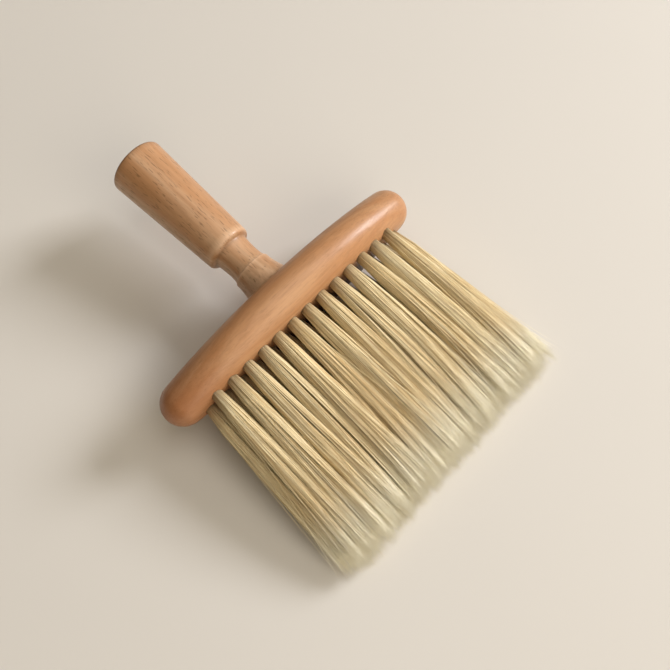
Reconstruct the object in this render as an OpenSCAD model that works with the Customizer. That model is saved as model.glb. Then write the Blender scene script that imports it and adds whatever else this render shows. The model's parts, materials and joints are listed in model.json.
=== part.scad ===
// Body dry brush: an oval stock, a turned handle and three rows of long bristle tufts.
// X runs along the stock, Y towards the free end of the handle, Z up.
// The brush lies on its side, as it is put down: the stock's edge and the tips of the
// lower row rest on the surface, so the handle points up a little.

/* [Stock] */
// Length of the oval stock
stock_len = 150; // [140:1:165]
// Width of the stock across its middle
stock_w = 48; // [46:1:54]
// Thickness of the stock, and so the diameter of its full-round edge
stock_t = 20; // [19:0.5:22]

/* [Handle] */
// Length of the handle from the back of the stock to its free end
handle_len = 90; // [75:1:120]
// Diameter of the handle at its free end
handle_end_d = 28.4; // [24:0.2:32]
// Diameter of the grip where it meets the lip
handle_neck_d = 23.6; // [22:0.2:25]
// Radius of the rounded edge at the free end
handle_edge_r = 1.6; // [0.8:0.2:2.4]
// Diameter at the bottom of the cove
cove_d = 17.2; // [15:0.2:18]
// Diameter of the collar between the cove and the stock
collar_d = 19.6; // [18.6:0.2:20.6]
// Diameter of the foot where the handle meets the stock
foot_d = 25; // [22:0.2:26]
// Diameter of the glued tenon inside the stock
tenon_d = 15; // [12:0.5:16]
// Length of the glued tenon inside the stock
tenon_len = 7.5; // [5:0.5:8]

/* [Bristles] */
// Number of tufts in the upper row and in the lower row
outer_tufts = 13; // [9:1:13]
// Distance between neighbouring tufts in a row
tuft_pitch = 8.9; // [8.6:0.1:9]
// Length of the bristles from the face of the stock to the tips
tuft_len = 91; // [60:1:110]
// Diameter of the drilled tuft holes
hole_d = 5.5; // [4.5:0.1:6]
// Depth of the drilled tuft holes
hole_depth = 8.5; // [7:0.5:9]
// Diameter of a tuft at its tips
tuft_tip_d = 8.2; // [6:0.2:8.4]
// Distance of the outer rows from the middle row, at the roots of the central tufts
row_gap = 12.2; // [11:0.2:13]
// Distance of the outer rows from the middle row at the tips
row_tip_gap = 8; // [7.8:0.1:9]
// Spread of a row at its tips, compared with its roots
tip_spread = 1.06; // [1:0.01:1.08]

/* [Anchors] */
// Length of a flat wire anchor, which bites the wall of its hole at both ends
anchor_len = 6.3; // [6.2:0.1:6.8]
// Height of an anchor along its hole
anchor_h = 2; // [1.6:0.1:2.4]
// Thickness of an anchor
anchor_t = 0.4; // [0.3:0.05:0.5]

/* [Hidden] */
edge_r = stock_t / 2;
end_r = edge_r + 1;
half_w = stock_w / 2;
end_x = stock_len / 2 - end_r;
side_r = (end_x * end_x + half_w * half_w - end_r * end_r) / (2 * (half_w - end_r));
disc_count = 16;

row_reach = stock_len / 2 - 7;
middle_tufts = outer_tufts + 1;
glue_gap = 0.05;
tuft_gap = 0.05;
slot_gap = 0.02;
anchor_rise = 1.2;

foot_h = 13;
cove_s = 18.5;
lip_s = 27;
lip_r = 2.2;
tenon_chamfer = 0.6;
step_count = 8;

// The pitch at which the side of the stock and the tips of the lower row both touch down
tip_lean = atan2(row_gap - row_tip_gap, tuft_len);
tip_y = edge_r + tuft_len + tuft_tip_d / 2 * sin(tip_lean);
tip_z = row_tip_gap + tuft_tip_d / 2 * cos(tip_lean);
side_z = half_w - edge_r;
pitch = asin(edge_r / norm([tip_y, side_z - tip_z])) + atan2(side_z - tip_z, tip_y);
lift = side_z * cos(pitch) + edge_r;
far_y = (edge_r + handle_len - handle_edge_r) * cos(pitch)
    + (handle_end_d / 2 - handle_edge_r) * sin(pitch) + handle_edge_r;
near_y = tip_y * cos(pitch) + tip_z * sin(pitch);
centre_y = (near_y - far_y) / 2;

ROWS = ["upper", "middle", "lower"];
// Side of the middle row on which a row stands: 1 above, 0 on it, -1 below
function side(row) = row == "upper" ? 1 : row == "lower" ? -1 : 0;
function tufts(row) = row == "middle" ? middle_tufts : outer_tufts;
function root_x(row, i) = (i - (tufts(row) - 1) / 2) * tuft_pitch;
function root_z(row, i) = side(row) * row_gap * sqrt(1 - pow(root_x(row, i) / row_reach, 2));
function two_digits(i) = i < 9 ? str("0", i + 1) : str(i + 1);
function tuft_name(row, i) = str("tuft_", row, "_", two_digits(i));

// Points of an arc about centre c, from angle a0 to angle a1
function arc(c, r, a0, a1) = [
    for (k = [0 : step_count])
    let (a = a0 + (a1 - a0) * k / step_count)
    c + r * [cos(a), sin(a)]
];

// Quarter of an ellipse between the bottom of the cove and its edge at radius r, distance s
function quarter(r, s, a0, a1) = [
    for (k = [1 : step_count - 1])
    let (a = a0 + (a1 - a0) * k / step_count)
    [r - (r - cove_d / 2) * cos(a), cove_s + (s - cove_s) * sin(a)]
];

// Lays the brush down at its pitch, with the lowest points on the surface
module at_rest() {
    translate([0, centre_y, lift]) rotate([pitch, 0, 0]) children();
}

// Puts a tuft, its hole or its anchor at the root, with +Z along the bristles
module at_root(row, i) {
    run_x = root_x(row, i) * (tip_spread - 1);
    run_z = side(row) * row_tip_gap - root_z(row, i);
    drop = atan2(-run_z, norm([run_x, tuft_len]));
    fan = atan2(run_x, tuft_len);
    translate([root_x(row, i), -edge_r, root_z(row, i)]) rotate([90 + drop, 0, fan]) children();
}

function axis_len(row, i) = norm([
    root_x(row, i) * (tip_spread - 1),
    tuft_len,
    side(row) * row_tip_gap - root_z(row, i)
]);

// A flat disc with a full-round edge, standing on the back-to-face axis of the brush
module round_disc(r) {
    rotate([90, 0, 0]) rotate_extrude($fn = 40) {
        translate([r - edge_r, 0]) intersection() {
            circle(r = edge_r, $fn = 32);
            translate([0, -edge_r]) square([edge_r, stock_t]);
        }
        translate([0, -edge_r]) square([r - edge_r, stock_t]);
    }
}

module stock_blank() {
    hull() for (k = [0 : disc_count]) {
        x = end_x * (2 * k / disc_count - 1);
        translate([x, 0, 0]) round_disc(side_r - norm([x, side_r - half_w]));
    }
}

module anchor_plate(gap = 0) {
    translate([0, 0, anchor_rise + anchor_h / 2 - hole_depth])
        cube([anchor_len + 2 * gap, anchor_t + 2 * gap, anchor_h + 2 * gap], center = true);
}

module tuft_hole() {
    translate([0, 0, -hole_depth]) cylinder(d = hole_d, h = hole_depth + edge_r, $fn = 48);
}

module mortise() {
    rotate([-90, 0, 0]) translate([0, 0, edge_r - tenon_len - glue_gap])
        cylinder(d = tenon_d + 2 * glue_gap, h = tenon_len + 1, $fn = 64);
}

module stock() {
    color("burlywood") at_rest() difference() {
        stock_blank();
        mortise();
        for (row = ROWS) for (i = [0 : tufts(row) - 1]) at_root(row, i) {
            tuft_hole();
            anchor_plate(slot_gap);
        }
    }
}

// Half outline of the turned handle: radius against distance from the back of the stock
function handle_outline() = concat(
    [[0, -tenon_len], [tenon_d / 2 - tenon_chamfer, -tenon_len], [tenon_d / 2, tenon_chamfer - tenon_len]],
    [[tenon_d / 2, 0]],
    [for (k = [0 : step_count]) [
        collar_d / 2 + (foot_d - collar_d) / 2 * pow(1 - k / step_count, 1.8),
        foot_h * k / step_count
    ]],
    quarter(collar_d / 2, foot_h, 90, 0),
    quarter(handle_neck_d / 2 - lip_r, lip_s, 0, 90),
    arc([handle_neck_d / 2 - lip_r, lip_s + lip_r], lip_r, -60, 0),
    arc([handle_end_d / 2 - handle_edge_r, handle_len - handle_edge_r], handle_edge_r, 0, 90),
    [[0, handle_len]]
);

module handle() {
    color("peru") at_rest() translate([0, edge_r, 0]) rotate([-90, 0, 0])
        rotate_extrude($fn = 96) polygon(handle_outline());
}

module tuft(row, i) {
    color("wheat") at_rest() at_root(row, i) difference() {
        union() {
            translate([0, 0, -hole_depth]) cylinder(d = hole_d - 2 * tuft_gap, h = hole_depth, $fn = 32);
            cylinder(d1 = hole_d - 2 * tuft_gap, d2 = tuft_tip_d, h = axis_len(row, i), $fn = 32);
        }
        anchor_plate(slot_gap);
    }
}

module anchors(row) {
    color("silver") at_rest() for (i = [0 : tufts(row) - 1]) at_root(row, i) anchor_plate();
}

stock();
handle();
for (row = ROWS) anchors(row);
for (row = ROWS) for (i = [0 : tufts(row) - 1])
    tuft(row, i);
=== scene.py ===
import json
import math

import bmesh
import bpy
import numpy as np
from mathutils import Matrix, Vector


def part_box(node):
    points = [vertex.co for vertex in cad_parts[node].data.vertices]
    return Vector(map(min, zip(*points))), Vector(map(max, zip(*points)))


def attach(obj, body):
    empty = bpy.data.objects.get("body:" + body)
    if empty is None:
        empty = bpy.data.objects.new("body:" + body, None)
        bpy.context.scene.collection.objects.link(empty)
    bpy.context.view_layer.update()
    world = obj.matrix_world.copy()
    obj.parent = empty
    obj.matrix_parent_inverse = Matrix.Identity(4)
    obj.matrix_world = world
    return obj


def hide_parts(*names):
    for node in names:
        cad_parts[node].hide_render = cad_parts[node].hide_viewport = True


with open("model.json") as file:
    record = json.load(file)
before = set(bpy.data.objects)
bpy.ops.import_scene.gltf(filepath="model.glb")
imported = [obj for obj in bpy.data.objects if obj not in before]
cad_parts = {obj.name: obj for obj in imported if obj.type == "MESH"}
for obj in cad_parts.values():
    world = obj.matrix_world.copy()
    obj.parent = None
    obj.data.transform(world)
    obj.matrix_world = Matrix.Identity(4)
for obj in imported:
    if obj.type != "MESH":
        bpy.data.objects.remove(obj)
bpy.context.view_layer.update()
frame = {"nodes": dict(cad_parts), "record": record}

# ---------------------------------------------------------------- driving sizes, metres

STOCK_WIDTH = 0.048
STOCK_THICKNESS = 0.020
EDGE_R = STOCK_THICKNESS / 2
END_R = EDGE_R + 0.001

HANDLE_LEN = 0.090
HANDLE_END_D = 0.0284
HANDLE_NECK_D = 0.0236
HANDLE_EDGE_R = 0.0016
COVE_D = 0.0172
COLLAR_D = 0.0196
FOOT_D = 0.025
FOOT_H = 0.013
LIP_R = 0.0022
# Distances from the back of the stock to the bottom of the cove and to the start of the lip
COVE_AT = 0.0185
LIP_AT = 0.027
TENON_D = 0.015
TENON_LEN = 0.0075

HOLE_D = 0.0055
HOLE_DEPTH = 0.0085
# The broken rim of a hole: how far in it starts, how far out it ends and how much it opens
RIM_IN = 0.0006
RIM_OUT = 0.0003
RIM_FLARE = 0.0004
GLUE_GAP = 0.00005

FIBRES_PER_TUFT = 720
FIBRE_STEPS = 9
FIBRE_R = 0.00013
# The thinnest and the thickest fibre as shares of that radius
FIBRE_THICKNESS = (0.75, 1.2)
# How far inside the hole's mouth the fibres start
FIBRE_ROOT_IN = 0.0022
# Full fibre length as a share of the tuft's, how far single fibres fall short of it, and how far
# whole locks and whole tufts vary about it
FULL_LEN = 1.045
FIBRE_LEN_SPREAD = 0.06
LOCK_LEN_SPREAD = 0.012
TUFT_LEN_SPREAD = 0.007
# How full of fibres a hole's radius is, and the half width and height of a tuft at its tips
PACKED = 0.94
OPEN_R = (0.0064, 0.0048)
# Locks are groups of neighbouring fibres that lean together
LOCKS_PER_TUFT = 16
LOCK_PULL = 0.38
STRAY_SHARE = 0.06
# Spreads of the random sideways and upwards leans at the tips
LOCK_LEAN = (0.0011, 0.0008)
FIBRE_LEAN = (0.0007, 0.0005)
STRAY_LEAN = (0.0030, 0.0022)
TUFT_LEAN = (0.0007, 0.0004)
# By row, 1 for the upper, 0 for the middle and -1 for the lower one: the share of its length that
# a row ends short, how far it sags at the tips, and the power by which it opens along its length
ROW_SHORT = {1: 0.0, 0: 0.006, -1: 0.014}
ROW_SAG = {1: 0.0115, 0: 0.0055, -1: 0.0}
ROW_OPENING = {1: 0.62, 0: 0.38, -1: 0.38}

SEED = 20

# ---------------------------------------------------------------- mesh fineness

OUTLINE_SAMPLES = 4001
OUTLINE_POINTS = 240
EDGE_RINGS = 25
FLAT_SHARES = (0.04, 0.3, 0.62, 0.9)
CUTTER_SIDES = 32
LATHE_SIDES = 128
FOOT_STEPS = 20
GRIP_STEPS = 24

# ---------------------------------------------------------------- colours, linear red, green, blue

STOCK_WOOD = {
    "light": (0.60, 0.335, 0.17), "dark": (0.48, 0.225, 0.095), "shade": (0.49, 0.22, 0.09)
}
HANDLE_WOOD = {
    "light": (0.76, 0.52, 0.335), "dark": (0.52, 0.265, 0.12), "shade": (0.52, 0.26, 0.12)
}
# Painted shade, darker and redder, laid over the low end of the stock along its grain
PAINTED_END_SHADE = (0.32, 0.105, 0.035)
# Where the painted shade at the stock's low end is strongest and where it has faded out, along the
# grain, in metres
PAINTED_END_SHADE_FROM = -0.078
PAINTED_END_SHADE_TO = -0.030

FIBRE_DEEP = (0.72, 0.50, 0.22)
FIBRE_PALE = (1.0, 0.87, 0.57)
FIBRE_ROOT = (0.40, 0.27, 0.13)
# Pale tips: partly the fibres' own colour, partly painted light standing in for light shining
# through the thin tips
FIBRE_TIP_WITH_PAINTED_LIGHT = (1.0, 0.94, 0.74)
FIBRE_MOTTLE = (0.50, 0.37, 0.19)

WIRE_DARK = (0.36, 0.35, 0.33)
WIRE_BRIGHT = (0.58, 0.57, 0.54)
TABLE_DARK = (0.73, 0.69, 0.635)
TABLE_LIGHT = (0.76, 0.72, 0.665)

WINDOW_LIGHT = (0.92, 0.935, 0.975)
CEILING_LIGHT = (1.0, 0.965, 0.92)
ROOM_LIGHT = (1.0, 0.91, 0.76)
SURROUND_LIGHT = (1.0, 0.86, 0.63)

# ---------------------------------------------------------------- camera and brush frame

CAMERA_AZIMUTH = math.radians(-44.0)
CAMERA_ELEVATION = math.radians(65.1)
CAMERA_ROLL = math.radians(-3.2)
CAMERA_DISTANCE = 0.415
CAMERA_LENS = 50.5
# Where the camera looks, from the middle of the stock
CAMERA_AIM = Vector((0.0026, -0.0260, 0.0))


STOCK_LOW, STOCK_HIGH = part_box("stock")
STOCK_CENTRE = (STOCK_LOW + STOCK_HIGH) / 2
HALF_LEN = (STOCK_HIGH.x - STOCK_LOW.x) / 2


def brush_matrix():
    """Brush frame to row frame: origin in the middle of the stock, Y along the handle."""
    end = next(m for m in frame["record"]["mounts"] if m["name"] == "handle_end")
    pitch = math.atan2(end["axis"][2], end["axis"][1])
    return Matrix.Translation(STOCK_CENTRE) @ Matrix.Rotation(pitch, 4, "X")


BRUSH = brush_matrix()
BRUSH_INVERSE = BRUSH.inverted()


def make_camera():
    data = bpy.data.cameras.new("camera")
    data.sensor_width = 36
    data.lens = CAMERA_LENS
    data.clip_start = 0.01
    data.clip_end = 20
    camera = bpy.data.objects.new("camera", data)
    bpy.context.scene.collection.objects.link(camera)
    across = math.cos(CAMERA_ELEVATION)
    back = Vector((
        math.sin(CAMERA_AZIMUTH) * across,
        -math.cos(CAMERA_AZIMUTH) * across,
        math.sin(CAMERA_ELEVATION),
    ))
    camera.rotation_mode = "QUATERNION"
    camera.location = STOCK_CENTRE + CAMERA_AIM + back * CAMERA_DISTANCE
    roll = Matrix.Rotation(CAMERA_ROLL, 3, "Z").to_quaternion()
    camera.rotation_quaternion = (-back).to_track_quat("-Z", "Y") @ roll
    bpy.context.scene.camera = camera


# ---------------------------------------------------------------- material helpers


class Nodes:
    """Short calls for building one material's node tree."""

    def __init__(self, name):
        self.material = bpy.data.materials.new(name)
        self.material.use_nodes = True
        self.tree = self.material.node_tree
        self.tree.nodes.clear()
        self.shader = self.add("ShaderNodeBsdfPrincipled")
        output = self.add("ShaderNodeOutputMaterial")
        self.join(self.shader.outputs[0], output.inputs["Surface"])

    def add(self, kind, **settings):
        made = self.tree.nodes.new(kind)
        for key, value in settings.items():
            setattr(made, key, value)
        return made

    def join(self, source, target):
        self.tree.links.new(source, target)

    def object_coords(self, scale):
        coords = self.add("ShaderNodeTexCoord")
        mapping = self.add("ShaderNodeMapping")
        mapping.inputs["Scale"].default_value = scale
        self.join(coords.outputs["Object"], mapping.inputs["Vector"])
        return mapping.outputs["Vector"]

    def noise(self, scale, detail=3.0, rough=0.5, distortion=0.0):
        made = self.add("ShaderNodeTexNoise")
        made.inputs["Scale"].default_value = 1.0
        made.inputs["Detail"].default_value = detail
        made.inputs["Roughness"].default_value = rough
        made.inputs["Distortion"].default_value = distortion
        self.join(self.object_coords(scale), made.inputs["Vector"])
        return made.outputs["Fac"]

    def attribute(self, name):
        return self.add("ShaderNodeAttribute", attribute_name=name).outputs["Fac"]

    def ramp(self, fac, low, high, low_value=0.0, high_value=1.0):
        made = self.add("ShaderNodeMapRange", interpolation_type="SMOOTHSTEP")
        for key, value in zip(
            ("From Min", "From Max", "To Min", "To Max"), (low, high, low_value, high_value)
        ):
            made.inputs[key].default_value = value
        self.join(fac, made.inputs["Value"])
        return made.outputs["Result"]

    def math(self, operation, first, second):
        made = self.add("ShaderNodeMath", operation=operation)
        for value, target in ((first, made.inputs[0]), (second, made.inputs[1])):
            if isinstance(value, (int, float)):
                target.default_value = value
            else:
                self.join(value, target)
        return made.outputs[0]

    def mix(self, fac, first, second):
        """Two colours mixed. The node's colour sockets are 6 and 7, and its colour output is 2."""
        made = self.add("ShaderNodeMix", data_type="RGBA")
        for value, target in (
            (fac, made.inputs[0]), (first, made.inputs[6]), (second, made.inputs[7])
        ):
            if isinstance(value, float):
                target.default_value = value
            elif isinstance(value, tuple):
                target.default_value = value + (1.0,)
            else:
                self.join(value, target)
        return made.outputs[2]

    def bump(self, height, strength, distance):
        made = self.add("ShaderNodeBump")
        made.inputs["Strength"].default_value = strength
        made.inputs["Distance"].default_value = distance
        self.join(height, made.inputs["Height"])
        self.join(made.outputs["Normal"], self.shader.inputs["Normal"])

    def set(self, **values):
        for key, value in values.items():
            self.shader.inputs[key.replace("_", " ")].default_value = value


def along_grain(grain, along, across):
    """A texture scale with one value along the grain's axis and one across it."""
    return tuple(along if axis == grain else across for axis in "XYZ")


def scaled(colour, share):
    return tuple(min(1.0, share * c) for c in colour)


def beech(name, grain, light, dark, shade, fleck, end_shade=0.0):
    """Lacquered beech with growth bands, fine fibre, short ray flecks and worn edges.

    The last argument is how much painted shade, darker and redder, is laid over the low end of the
    grain's axis.
    """
    n = Nodes(name)
    bands = n.ramp(n.noise(along_grain(grain, 5, 95), 3, 0.55, 0.6), 0.32, 0.68)
    fibre = n.noise(along_grain(grain, 40, 900), 4, 0.6, 0.2)
    clouds = n.noise(along_grain(grain, 14, 30), 2, 0.5)
    flecks = n.ramp(n.noise(along_grain(grain, 210, 1500), 1.5, 0.4), 0.60, 0.72)
    pores = n.ramp(n.noise(along_grain(grain, 110, 3200), 2, 0.5), 0.55, 0.75)

    colour = n.mix(bands, dark, light)
    colour = n.mix(n.ramp(clouds, 0.3, 0.7, 0.0, 0.45), colour, shade)
    colour = n.mix(n.ramp(fibre, 0.35, 0.7, 0.0, 0.28), colour, scaled(dark, 0.62))
    colour = n.mix(n.math("MULTIPLY", flecks, fleck), colour, scaled(dark, 0.42))
    colour = n.mix(n.math("MULTIPLY", pores, 0.22), colour, scaled(dark, 0.5))
    worn = n.math("MULTIPLY", n.attribute("wear"), 0.45)
    colour = n.mix(worn, colour, scaled(light, 1.22))
    # Painted shade: darker in the holes, the mortise, the handle's cove, the rim of its free end
    # and its joint with the stock
    painted_shading = n.math("MULTIPLY", n.attribute("painted_shade"), 0.6)
    colour = n.mix(painted_shading, colour, scaled(dark, 0.38))
    # Painted shade, darker and redder towards the low end of the grain's axis
    if end_shade:
        split = n.add("ShaderNodeSeparateXYZ")
        n.join(n.object_coords((1, 1, 1)), split.inputs[0])
        end = n.ramp(split.outputs[grain], PAINTED_END_SHADE_FROM, PAINTED_END_SHADE_TO, end_shade, 0.0)
        colour = n.mix(end, colour, PAINTED_END_SHADE)
    n.join(colour, n.shader.inputs["Base Color"])

    rough = n.ramp(fibre, 0.3, 0.7, 0.36, 0.5)
    n.join(n.math("ADD", rough, n.math("MULTIPLY", flecks, 0.12)), n.shader.inputs["Roughness"])
    height = n.math("SUBTRACT", n.math("MULTIPLY", fibre, 0.5), n.math("MULTIPLY", flecks, 0.7))
    n.bump(n.math("SUBTRACT", height, n.math("MULTIPLY", pores, 0.4)), 0.35, 0.00012)
    n.set(Coat_Weight=0.22, Coat_Roughness=0.22, IOR=1.5, Specular_IOR_Level=0.35)
    return n.material


def bristle_material():
    """Fibres that each have their own tint, darker at the root and paler at the tip, the paleness
    partly their own colour and partly painted light for light through the thin tips.
    """
    n = Nodes("bristle_fibre")
    tint = n.attribute("tint")
    along = n.attribute("along")
    colour = n.mix(n.ramp(tint, 0.0, 1.0), FIBRE_DEEP, FIBRE_PALE)
    colour = n.mix(n.ramp(along, 0.0, 0.06, 0.5, 0.0), colour, FIBRE_ROOT)
    # Painted light in part: paler towards the tips, for light shining through them as well as
    # their own colour
    colour = n.mix(n.ramp(along, 0.6, 0.92, 0.0, 1.0), colour, FIBRE_TIP_WITH_PAINTED_LIGHT)
    mottle = n.noise((260, 260, 260), 2, 0.5)
    colour = n.mix(n.ramp(mottle, 0.35, 0.7, 0.0, 0.12), colour, FIBRE_MOTTLE)
    n.join(colour, n.shader.inputs["Base Color"])
    n.join(n.ramp(mottle, 0.3, 0.7, 0.38, 0.52), n.shader.inputs["Roughness"])
    n.set(Specular_IOR_Level=0.3, Sheen_Weight=0.05, Sheen_Roughness=0.4)
    return n.material


def steel_material():
    """Flat drawn wire with fine lengthwise scratches."""
    n = Nodes("anchor_wire")
    scratch = n.noise((90, 2600, 2600), 3, 0.6)
    colour = n.mix(scratch, WIRE_DARK, WIRE_BRIGHT)
    n.join(colour, n.shader.inputs["Base Color"])
    n.join(n.ramp(scratch, 0.3, 0.7, 0.28, 0.46), n.shader.inputs["Roughness"])
    n.bump(scratch, 0.2, 0.00002)
    n.set(Metallic=1.0)
    return n.material


def floor_material():
    """A plain warm pale table top with the faintest mottling."""
    n = Nodes("table_top")
    cloud = n.noise((5, 5, 5), 2, 0.5)
    n.join(n.mix(cloud, TABLE_DARK, TABLE_LIGHT), n.shader.inputs["Base Color"])
    n.join(n.ramp(cloud, 0.3, 0.7, 0.62, 0.7), n.shader.inputs["Roughness"])
    n.set(Specular_IOR_Level=0.25)
    return n.material


# ---------------------------------------------------------------- mesh helpers


def link(name, mesh, material, matrix=None):
    made = bpy.data.objects.new(name, mesh)
    bpy.context.scene.collection.objects.link(made)
    mesh.materials.append(material)
    if matrix is not None:
        made.matrix_world = matrix
    return made


def grid_faces(rings, around):
    """Quads between rings of `around` points each, closed round each ring."""
    ring = np.arange(around)
    step = (ring + 1) % around
    rows = np.arange(rings - 1)[:, None] * around
    return np.stack(
        [rows + ring, rows + step, rows + around + step, rows + around + ring], -1
    ).reshape(-1, 4)


def closed_rings(name, points, attributes):
    """A closed mesh through rings of points, a fan at each end, one attribute value a ring."""
    rings, around = points.shape[:2]
    mesh = bpy.data.meshes.new(name)
    ends = points[[0, -1]].mean(1)
    first, last = rings * around, rings * around + 1
    faces = grid_faces(rings, around).tolist()
    for k in range(around):
        after = (k + 1) % around
        faces.append((first, after, k))
        faces.append((last, (rings - 1) * around + k, (rings - 1) * around + after))
    mesh.from_pydata(np.concatenate([points.reshape(-1, 3), ends]).tolist(), [], faces)
    mesh.update()
    for key, values in attributes.items():
        ended = np.concatenate([np.repeat(values, around), values[[0, -1]]])
        layer = mesh.attributes.new(key, "FLOAT", "POINT")
        layer.data.foreach_set("value", ended.astype(np.float32))
    mesh.polygons.foreach_set("use_smooth", [True] * len(mesh.polygons))
    return mesh


def mark_sharp(mesh, degrees):
    """Keeps smooth shading, except over edges that bend more than the given angle."""
    work = bmesh.new()
    work.from_mesh(mesh)
    bmesh.ops.recalc_face_normals(work, faces=work.faces)
    for edge in work.edges:
        edge.smooth = not (
            len(edge.link_faces) == 2
            and edge.calc_face_angle(0.0) > math.radians(degrees)
        )
    work.to_mesh(mesh)
    work.free()


# ---------------------------------------------------------------- stock


def oval_point(angle, inset):
    """A point of the stock's plan outline, moved in by inset: four arcs that meet smoothly."""
    half_w = STOCK_WIDTH / 2
    end_x = HALF_LEN - END_R
    side_r = (end_x**2 + half_w**2 - END_R**2) / (2 * (half_w - END_R))
    centre_z = side_r - half_w
    join = math.atan2(centre_z, end_x)
    c, s = math.cos(angle), math.sin(angle)
    if abs(s) * math.cos(join) > abs(c) * math.sin(join):
        return (side_r - inset) * c, (side_r - inset) * s - math.copysign(centre_z, s)
    return math.copysign(end_x, c) + (END_R - inset) * c, (END_R - inset) * s


def stock_angles():
    """Normal angles round the outline, spread so that points lie evenly along it."""
    dense = np.linspace(0, math.tau, OUTLINE_SAMPLES)
    points = np.array([oval_point(a, 0) for a in dense])
    run = np.concatenate([[0], np.cumsum(np.linalg.norm(np.diff(points, axis=0), axis=1))])
    return np.interp(np.linspace(0, run[-1], OUTLINE_POINTS + 1)[:-1], run, dense)


def tuft_ends(node):
    """The middle of a tuft's hole end and of its tip end, in the brush frame."""
    mesh = frame["nodes"][node].data
    points = np.empty(len(mesh.vertices) * 3)
    mesh.vertices.foreach_get("co", points)
    points = points.reshape(-1, 3) @ np.array(BRUSH_INVERSE.to_3x3()).T
    points += np.array(BRUSH_INVERSE.translation)
    slack = 0.0007
    root = points[points[:, 1] > points[:, 1].max() - slack].mean(0)
    tip = points[points[:, 1] < points[:, 1].min() + slack].mean(0)
    return root, tip


def cutter(profiles):
    """One mesh of closed round cutters: each has two points of its axis, and its outline."""
    work = bmesh.new()
    turns = [k * math.tau / CUTTER_SIDES for k in range(CUTTER_SIDES)]
    for start, end, profile in profiles:
        start, end = Vector(start), Vector(end)
        axis = (end - start).normalized()
        facing = axis.to_track_quat("Z", "Y").to_matrix()
        previous = None
        for along, radius in profile:
            ring = [
                work.verts.new(
                    start + axis * along
                    + facing @ Vector((radius * math.cos(turn), radius * math.sin(turn), 0))
                )
                for turn in turns
            ]
            if previous:
                for k in range(CUTTER_SIDES):
                    after = (k + 1) % CUTTER_SIDES
                    work.faces.new((previous[k], previous[after], ring[after], ring[k]))
            else:
                work.faces.new(list(reversed(ring)))
            previous = ring
        work.faces.new(previous)
    bmesh.ops.recalc_face_normals(work, faces=work.faces)
    mesh = bpy.data.meshes.new("cutter")
    work.to_mesh(mesh)
    work.free()
    return mesh


def hole_cutters(tufts):
    """Drilled holes with softly broken rims, and the mortise for the handle's tenon."""
    bore, past = HOLE_D / 2, 0.004
    drill = [
        (0, bore), (HOLE_DEPTH - RIM_IN, bore), (HOLE_DEPTH + RIM_OUT, bore + RIM_FLARE),
        (HOLE_DEPTH + past, bore + 1.5 * RIM_FLARE),
    ]
    mortise_r = TENON_D / 2 + GLUE_GAP
    mortise = [(0, mortise_r), (TENON_LEN + past / 2, mortise_r)]
    bottom = (0, EDGE_R - TENON_LEN - GLUE_GAP, 0)
    return [(root, tip, drill) for root, tip in tufts] + [(bottom, (0, 1, 0), mortise)]


def plain_stock():
    """The stock's mesh before drilling, in the brush frame: a full-round edge and two flats."""
    angles = stock_angles()
    turns = np.linspace(math.pi / 2, -math.pi / 2, EDGE_RINGS)
    rim = []
    for turn in turns:
        outline = [oval_point(angle, EDGE_R * (1 - math.cos(turn))) for angle in angles]
        rim.append([(x, EDGE_R * math.sin(turn), z) for x, z in outline])
    rim = np.array(rim)
    # The flats shrink towards the long axis of the oval, where they close
    back = [flat_ring(rim[0], share) for share in FLAT_SHARES]
    face = [flat_ring(rim[-1], share) for share in reversed(FLAT_SHARES)]
    wear = np.concatenate([
        np.full(len(back), 0.1), 0.25 * abs(np.sin(turns)) ** 6, np.zeros(len(face))
    ])
    points = np.concatenate([back, rim, face])
    return closed_rings("stock_wood", points, {"wear": wear, "painted_shade": np.zeros(len(wear))})


def cut(piece, tool):
    """Cuts the tool's mesh out of the piece, and removes the tool."""
    change = piece.modifiers.new("holes", "BOOLEAN")
    change.object = tool
    change.operation = "DIFFERENCE"
    change.solver = "EXACT"
    bpy.context.view_layer.update()
    changed = piece.evaluated_get(bpy.context.evaluated_depsgraph_get())
    mesh = bpy.data.meshes.new_from_object(changed)
    piece.modifiers.clear()
    piece.data = mesh
    bpy.data.objects.remove(tool)


def make_stock(tufts, material):
    stock = link("stock_wood", plain_stock(), material)
    mark_sharp(stock.data, degrees=40)
    cut(stock, link("hole_tool", cutter(hole_cutters(tufts)), material))
    mark_sharp(stock.data, degrees=38)
    paint_hole_shade(stock.data)
    stock.matrix_world = BRUSH
    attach(stock, "root")
    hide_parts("stock")


def flat_ring(ring, share):
    """The outline of a flat drawn in towards its long axis."""
    drawn = ring.copy()
    drawn[:, 2] *= share
    drawn[:, 0] *= 0.8 + 0.2 * share
    return drawn


def paint_hole_shade(mesh):
    """Paints shade inside the holes and the mortise, but not on the flats or the round edge."""
    for vertex, value in zip(mesh.vertices, mesh.attributes["painted_shade"].data):
        x, y, z = vertex.co
        deep = -EDGE_R + 0.0016 < y < EDGE_R - 0.0014
        inside = (x / HALF_LEN) ** 2 + (z / (STOCK_WIDTH / 2)) ** 2 < 0.6
        value.value = 0.8 if deep and inside and vertex.co.length < 0.06 else 0.0


# ---------------------------------------------------------------- handle


def arc(centre, radius, start, end, count=12):
    turns = np.radians(np.linspace(start, end, count))
    return [(centre[0] + radius * math.cos(t), centre[1] + radius * math.sin(t)) for t in turns]


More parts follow.
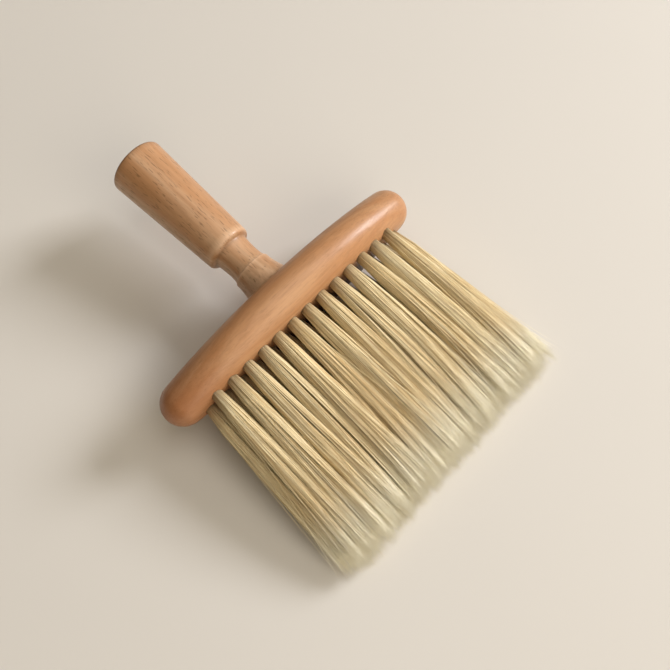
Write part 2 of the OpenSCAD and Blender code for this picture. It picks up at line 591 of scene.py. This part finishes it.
def handle_outline():
    """Radius against distance from the back of the stock, from the tenon to the free end."""
    tenon_r, chamfer = TENON_D / 2, 0.0006
    points = [(0.0015, -TENON_LEN), (tenon_r - chamfer, -TENON_LEN)]
    points += [(tenon_r, chamfer - TENON_LEN), (tenon_r, -0.0004)]
    for k in range(FOOT_STEPS + 1):
        share = k / FOOT_STEPS
        flare = (FOOT_D - COLLAR_D) / 2 * (1 - share) ** 1.8
        points.append((COLLAR_D / 2 + flare, FOOT_H * share))
    lip_low = HANDLE_NECK_D / 2 - LIP_R
    points += cove(COLLAR_D / 2, FOOT_H, 86, 0) + cove(lip_low, LIP_AT, 4, 88)
    points += arc((lip_low, LIP_AT + LIP_R), LIP_R, -60, 0, 9)
    points += grip(HANDLE_NECK_D / 2, LIP_AT + LIP_R)
    edge = (HANDLE_END_D / 2 - HANDLE_EDGE_R, HANDLE_LEN - HANDLE_EDGE_R)
    points += arc(edge, HANDLE_EDGE_R, 4, 90, 10)
    points += [(share * HANDLE_END_D / 2, HANDLE_LEN) for share in (0.8, 0.55, 0.3, 0.08)]
    return np.array(points)


def cove(radius, far, start, end, count=12):
    """Quarter of an ellipse between the bottom of the cove and its edge."""
    turns = np.radians(np.linspace(start, end, count))
    deep = radius - COVE_D / 2
    return [(radius - deep * math.cos(t), COVE_AT + (far - COVE_AT) * math.sin(t)) for t in turns]


def grip(neck_r, start):
    """The long straight taper from the lip to the free end."""
    end = HANDLE_LEN - HANDLE_EDGE_R
    shares = [k / GRIP_STEPS for k in range(1, GRIP_STEPS + 1)]
    return [
        (neck_r + (HANDLE_END_D / 2 - neck_r) * share, start + (end - start) * share)
        for share in shares
    ]


def band(far, middle, width):
    """One at a distance along the handle, fading to nothing either side."""
    return np.exp(-(((far - middle) / width) ** 2))


def make_handle(material):
    radius, far = handle_outline().T
    around = np.linspace(0, math.tau, LATHE_SIDES + 1)[:-1]
    points = np.stack([
        radius[:, None] * np.cos(around), np.repeat(far[:, None] + EDGE_R, LATHE_SIDES, 1),
        radius[:, None] * -np.sin(around),
    ], -1)
    lip = band(far, LIP_AT + LIP_R, width=0.0012)
    collar = band(far, FOOT_H, width=0.0010)
    wear = np.clip(0.8 * lip + 0.6 * collar, 0, 1)
    # Painted shade: a dark line round the rim of the free end, in the cove below the lip and at
    # the joint with the stock
    outside = radius > HANDLE_END_D / 2 - HANDLE_EDGE_R
    rim = band(far, HANDLE_LEN - 0.0004, width=0.0013) * outside
    groove = band(far, LIP_AT - 0.0004, width=0.0009)
    joint = band(far, 0, width=0.0012)
    painted_shade = np.clip(rim + 0.7 * groove + 0.8 * joint, 0, 1)
    mesh = closed_rings("handle_wood", points, {"wear": wear, "painted_shade": painted_shade})
    mark_sharp(mesh, degrees=50)
    handle = link("handle_wood", mesh, material, BRUSH)
    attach(handle, "root")
    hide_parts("handle")


# ---------------------------------------------------------------- bristles


def tuft_axes(root, tip):
    """Unit vectors along a tuft and across it, sideways and upwards."""
    length = np.linalg.norm(tip - root)
    along = (tip - root) / length
    sideways = np.cross(along, [0.0, 0.0, 1.0])
    sideways /= np.linalg.norm(sideways)
    return length, along, sideways, np.cross(sideways, along)


def disc(rng, count, spread=0.5):
    """Random points over a unit disc: evenly at 0.5, crowded to its edge below that."""
    radius, turn = rng.random(count) ** spread, rng.random(count) * math.tau
    return np.stack([radius * np.cos(turn), radius * np.sin(turn)], -1)


def fibre_paths(rng, root, tip, count):
    """Points along each fibre of a tuft in the brush frame, from its hole to its tip."""
    length, along, sideways, upwards = tuft_axes(root, tip)
    start = HOLE_DEPTH - FIBRE_ROOT_IN
    row = 1 if root[2] > 0.002 else -1 if root[2] < -0.002 else 0
    place = disc(rng, count, 0.36)
    share = np.linspace(0, 1, FIBRE_STEPS) ** 0.9

    lock_place = disc(rng, LOCKS_PER_TUFT)
    lock = np.argmin(((place[:, None] - lock_place[None]) ** 2).sum(-1), 1)
    lock_lean = rng.normal(0, 1, (LOCKS_PER_TUFT, 2)) * LOCK_LEAN
    lock_len = rng.normal(0, LOCK_LEN_SPREAD, LOCKS_PER_TUFT)

    shorter = np.abs(rng.normal(0, FIBRE_LEN_SPREAD, count))
    share_len = FULL_LEN - ROW_SHORT[row] + lock_len[lock] - shorter
    reach = (length - start) * (share_len + rng.normal(0, TUFT_LEN_SPREAD))
    stray = rng.random(count) < STRAY_SHARE
    lean = lock_lean[lock] + rng.normal(0, 1, (count, 2)) * FIBRE_LEAN
    lean += rng.normal(0, 1, (count, 2)) * STRAY_LEAN * stray[:, None]
    tuft_lean = rng.normal(0, 1, 2) * TUFT_LEAN

    # From packed in the hole to open at the tips, each fibre drawn towards its lock
    tight = HOLE_D / 2 * PACKED
    gather = lock_place[lock] * LOCK_PULL + place * (1 - LOCK_PULL)
    t = share[None, :, None]
    swell = t ** ROW_OPENING[row]
    across = place[:, None] * tight * (1 - swell) + gather[:, None] * np.array(OPEN_R) * swell
    across += (lean[:, None] + tuft_lean) * t**1.8
    wave = rng.random((count, 2)) * math.tau
    turns = rng.uniform(0.7, 1.6, (count, 2))
    size = rng.uniform(0.00008, 0.00042, (count, 2))
    across += size[:, None] * np.sin(math.tau * turns[:, None] * t + wave[:, None]) * t
    bow = rng.normal(0, 0.0004, 2)
    across += bow * np.sin(math.pi * t)
    across -= np.array([0.0, ROW_SAG[row]]) * t**2.2

    far = start + reach[:, None] * share[None]
    path = root + far[..., None] * along
    return path + across[..., :1] * sideways + across[..., 1:] * upwards


def tube_mesh(name, paths, radius, tint):
    """Three-sided tapering tubes along the paths, closed at the root and pointed at the tip."""
    count, steps = paths.shape[:2]
    ahead = np.gradient(paths, axis=1)
    ahead /= np.linalg.norm(ahead, axis=-1, keepdims=True)
    side = np.cross(ahead, [0.0, 0.0, 1.0])
    side /= np.linalg.norm(side, axis=-1, keepdims=True)
    upper = np.cross(side, ahead)
    turn = np.arange(3) * math.tau / 3 + 0.5
    ring = (
        side[:, :, None] * np.cos(turn)[:, None] + upper[:, :, None] * np.sin(turn)[:, None]
    )
    points = paths[:, :, None] + ring * radius[:, :, None, None]
    body, per = points[:, :-1], (steps - 1) * 3 + 1
    verts = np.concatenate([body.reshape(count, -1, 3), paths[:, -1:]], 1).reshape(-1, 3)

    k = np.arange(3)
    after = (k + 1) % 3
    rows = (np.arange(steps - 2) * 3)[:, None]
    one = np.stack([rows + k, rows + after, rows + 3 + after, rows + 3 + k], -1).reshape(-1, 4)
    base = (np.arange(count) * per)[:, None, None]
    quads = (one[None] + base).reshape(-1, 4)
    last = (steps - 2) * 3
    tips = np.stack([last + k, last + after, np.full(3, per - 1)], -1)
    caps = np.array([[2, 1, 0]])
    tris = (np.concatenate([tips, caps])[None] + base).reshape(-1, 3)

    mesh = bpy.data.meshes.new(name)
    loops = np.concatenate([quads.ravel(), tris.ravel()])
    sizes = np.concatenate([np.full(len(quads), 4), np.full(len(tris), 3)])
    mesh.vertices.add(len(verts))
    mesh.vertices.foreach_set("co", verts.astype(np.float32).ravel())
    mesh.loops.add(len(loops))
    mesh.loops.foreach_set("vertex_index", loops.astype(np.int32))
    mesh.polygons.add(len(sizes))
    starts = np.concatenate([[0], np.cumsum(sizes)[:-1]])
    mesh.polygons.foreach_set("loop_start", starts.astype(np.int32))
    mesh.polygons.foreach_set("use_smooth", np.ones(len(sizes), bool))
    mesh.update(calc_edges=True)
    mesh.validate()
    share = np.linspace(0, 1, steps)
    along = np.concatenate([np.repeat(share[:-1], 3), [1.0]])
    for key, values in (("tint", np.repeat(tint, per)), ("along", np.tile(along, count))):
        layer = mesh.attributes.new(key, "FLOAT", "POINT")
        layer.data.foreach_set("value", values.astype(np.float32))
    return mesh


def laid_down(paths, clear):
    """The paths in the row frame, with no point sinking into the surface the brush lies on."""
    matrix = np.array(BRUSH)
    paths = paths @ matrix[:3, :3].T + matrix[:3, 3]
    paths[..., 2] = np.maximum(paths[..., 2], clear)
    return paths


def make_tuft(node, root, tip, material, rng):
    count = FIBRES_PER_TUFT
    paths = laid_down(fibre_paths(rng, root, tip, count), FIBRE_R * FIBRE_THICKNESS[1])
    share = np.linspace(0, 1, FIBRE_STEPS)
    thick = FIBRE_R * rng.uniform(*FIBRE_THICKNESS, count)
    radius = thick[:, None] * (1 - 0.55 * share[None] ** 3)
    tint = np.clip(rng.normal(0.58, 0.16, count) + rng.normal(0, 0.05), 0, 1)
    mesh = tube_mesh(node + "_fibres", paths, radius, tint)
    tuft = link(node + "_fibres", mesh, material)
    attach(tuft, "root")
    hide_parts(node)


# ---------------------------------------------------------------- surroundings


def make_floor():
    far = 3.0
    mesh = bpy.data.meshes.new("table_top")
    corners = [(-far, -far, 0), (far, -far, 0), (far, far, 0), (-far, far, 0)]
    mesh.from_pydata(corners, [], [(0, 1, 2, 3)])
    floor = link("table_top", mesh, floor_material())


def area_light(name, colour, power, azimuth, elevation, distance, size):
    """A square soft light that faces the brush from the given side and height."""
    data = bpy.data.lights.new(name, "AREA")
    data.shape = "SQUARE"
    data.size = size
    data.energy = power
    data.color = colour
    light = bpy.data.objects.new(name, data)
    bpy.context.scene.collection.objects.link(light)
    a, e = math.radians(azimuth), math.radians(elevation)
    back = Vector((math.cos(a) * math.cos(e), math.sin(a) * math.cos(e), math.sin(e)))
    light.location = STOCK_CENTRE + back * distance
    light.rotation_mode = "QUATERNION"
    light.rotation_quaternion = (-back).to_track_quat("-Z", "Y")


def make_world():
    """Warm fill light from a room that is darker on the side away from the window."""
    world = bpy.data.worlds.new("studio")
    world.use_nodes = True
    nodes, links = world.node_tree.nodes, world.node_tree.links
    side = nodes.new("ShaderNodeSeparateXYZ")
    links.new(nodes.new("ShaderNodeTexCoord").outputs["Generated"], side.inputs[0])
    fall = nodes.new("ShaderNodeMapRange")
    away, towards = 0.04, 0.36
    for key, value in zip(("From Min", "From Max", "To Min", "To Max"), (-1, 1, away, towards)):
        fall.inputs[key].default_value = value
    links.new(side.outputs["X"], fall.inputs["Value"])
    background = nodes["Background"]
    background.inputs["Color"].default_value = SURROUND_LIGHT + (1,)
    links.new(fall.outputs["Result"], background.inputs["Strength"])
    return world


def make_lights():
    area_light(
        "window", WINDOW_LIGHT, power=42.5, azimuth=-20, elevation=31, distance=2.2, size=0.76
    )
    area_light(
        "ceiling", CEILING_LIGHT, power=7, azimuth=-40, elevation=72, distance=1.8, size=1.3
    )
    area_light("room", ROOM_LIGHT, power=18.5, azimuth=-95, elevation=30, distance=2.0, size=1.6)
    bpy.context.scene.world = make_world()
    bpy.context.scene.view_settings.view_transform = "Standard"


# ---------------------------------------------------------------- assembly


def main():
    make_camera()
    make_lights()
    make_floor()
    nodes = sorted(n for n in frame["nodes"] if n.startswith("tuft_"))
    ends = {n: tuft_ends(n) for n in nodes}
    make_stock(
        list(ends.values()), beech("stock_beech", grain="X", fleck=0.16, end_shade=0.55, **STOCK_WOOD)
    )
    make_handle(beech("handle_beech", grain="Y", fleck=0.62, **HANDLE_WOOD))
    fibre = bristle_material()
    rng = np.random.default_rng(SEED)
    for node in nodes:
        make_tuft(node, *ends[node], fibre, rng)
    steel = steel_material()
    for row in ("upper", "middle", "lower"):
        anchor = frame["nodes"]["anchors_" + row]
        anchor.data.materials.clear()
        anchor.data.materials.append(steel)


main()
